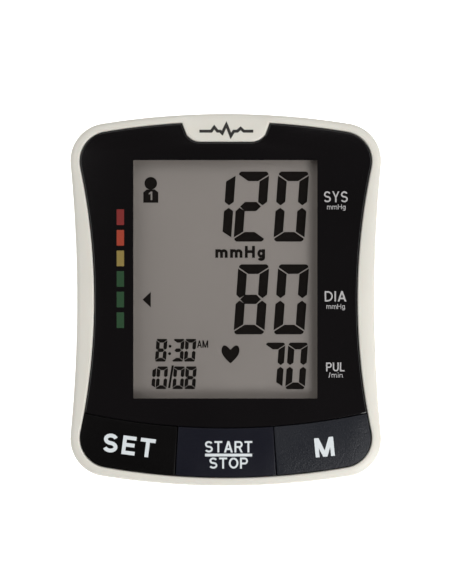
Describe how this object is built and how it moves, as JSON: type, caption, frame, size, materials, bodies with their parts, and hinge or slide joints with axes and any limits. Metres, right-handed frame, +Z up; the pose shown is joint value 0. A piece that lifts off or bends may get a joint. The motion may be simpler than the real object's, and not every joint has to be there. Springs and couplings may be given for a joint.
{
  "type": "upper arm blood pressure monitor",
  "caption": "Wedge-shaped table unit of an upper arm blood pressure monitor: large display, keys, air pump, release valve, cuff socket and battery bay.",
  "frame": {"origin": "middle of the unit's bounding box in plan, on the plane its feet stand on", "axes": "+Z up, +Y away from the user towards the raised end, +X to the user's right"},
  "size_m": [0.105, 0.1254, 0.0528],
  "materials": {
    "ivory_shell": "satin moulded plastic with a fine grain",
    "clear_window": "clear acrylic, glossy front",
    "black_print": "black print behind the window",
    "key_black": "satin black",
    "key_navy": "satin navy black",
    "key_slate": "satin slate",
    "display_glass": "grey reflective liquid crystal cell",
    "white_plastic": "natural moulded plastic",
    "board_laminate": "green solder mask",
    "chip_black": "moulded package",
    "rubber_black": "soft black rubber",
    "silicone_clear": "translucent silicone",
    "steel": "bright steel",
    "nickel_contact": "nickel plated steel",
    "brass": "turned brass",
    "cell_jacket": "plain printed jacket"
  },
  "bodies": {
    "case": {"front_cover": "ivory_shell", "bottom_case": "ivory_shell", "display_lens": "clear_window", "window_mask": "black_print", "lcd_glass": "display_glass", "lcd_frame": "white_plastic", "zebra_strip": "rubber_black", "main_board": "board_laminate", "controller_chip": "chip_black", "buzzer": "chip_black", "capacitor": "steel", "pressure_sensor": "white_plastic", "pump_head": "white_plastic", "pump_motor": "steel", "pump_cushion": "rubber_black", "air_socket": "chip_black", "air_manifold": "white_plastic", "bleed_valve": "silicone_clear", "release_valve": "steel", "pump_hose": "silicone_clear", "valve_hose": "silicone_clear", "sensor_hose": "silicone_clear", "dc_jack": "chip_black", "set_switch": "chip_black", "start_stop_switch": "chip_black", "memory_switch": "chip_black", "board_screw_1": "steel", "battery_1": "cell_jacket", "contact_spring_1": "nickel_contact", "board_screw_2": "steel", "battery_2": "cell_jacket", "contact_spring_2": "nickel_contact", "board_screw_3": "steel", "battery_3": "cell_jacket", "contact_spring_3": "nickel_contact", "board_screw_4": "steel", "battery_4": "cell_jacket", "contact_spring_4": "nickel_contact", "contact_plate_1_2": "nickel_contact", "contact_plate_3_4": "nickel_contact", "contact_plate_2_3": "nickel_contact", "contact_plate_positive": "nickel_contact", "contact_plate_negative": "nickel_contact", "case_screw_front_left": "steel", "foot_front_left": "rubber_black", "case_screw_front_right": "steel", "foot_front_right": "rubber_black", "case_screw_rear_left": "steel", "foot_rear_left": "rubber_black", "case_screw_rear_right": "steel", "foot_rear_right": "rubber_black"},
    "set_key": {"set_button": "key_black", "set_switch_plunger": "steel"},
    "start_stop_key": {"start_stop_button": "key_navy", "start_stop_switch_plunger": "steel"},
    "memory_key": {"memory_button": "key_slate", "memory_switch_plunger": "steel"},
    "door": {"battery_door": "ivory_shell"},
    "shaft": {"motor_shaft": "steel"},
    "armature": {"valve_armature": "brass"}
  },
  "joints": [
    {"name": "set_press", "type": "slide", "parent": "case", "child": "set_key", "axis": [0, 0.2079, -0.9781], "range_m": [0, 0.0006], "stiffness_N_per_m": 1000},
    {"name": "start_stop_press", "type": "slide", "parent": "case", "child": "start_stop_key", "axis": [0, 0.2079, -0.9781], "range_m": [0, 0.0006], "stiffness_N_per_m": 1000},
    {"name": "memory_press", "type": "slide", "parent": "case", "child": "memory_key", "axis": [0, 0.2079, -0.9781], "range_m": [0, 0.0006], "stiffness_N_per_m": 1000},
    {"name": "door_swing", "type": "hinge", "parent": "case", "child": "door", "pos_m": [0.0095, 0.05603, 0.002], "axis": [1, 0, 0], "range_deg": [0, 100]},
    {"name": "pump_spin", "type": "hinge", "parent": "case", "child": "shaft", "pos_m": [-0.0336, 0.02843, 0.017], "axis": [0, 1, 0], "continuous": true},
    {"name": "valve_stroke", "type": "slide", "parent": "case", "child": "armature", "axis": [0, 1, 0], "range_m": [0, 0.001], "stiffness_N_per_m": 300}
  ]
}
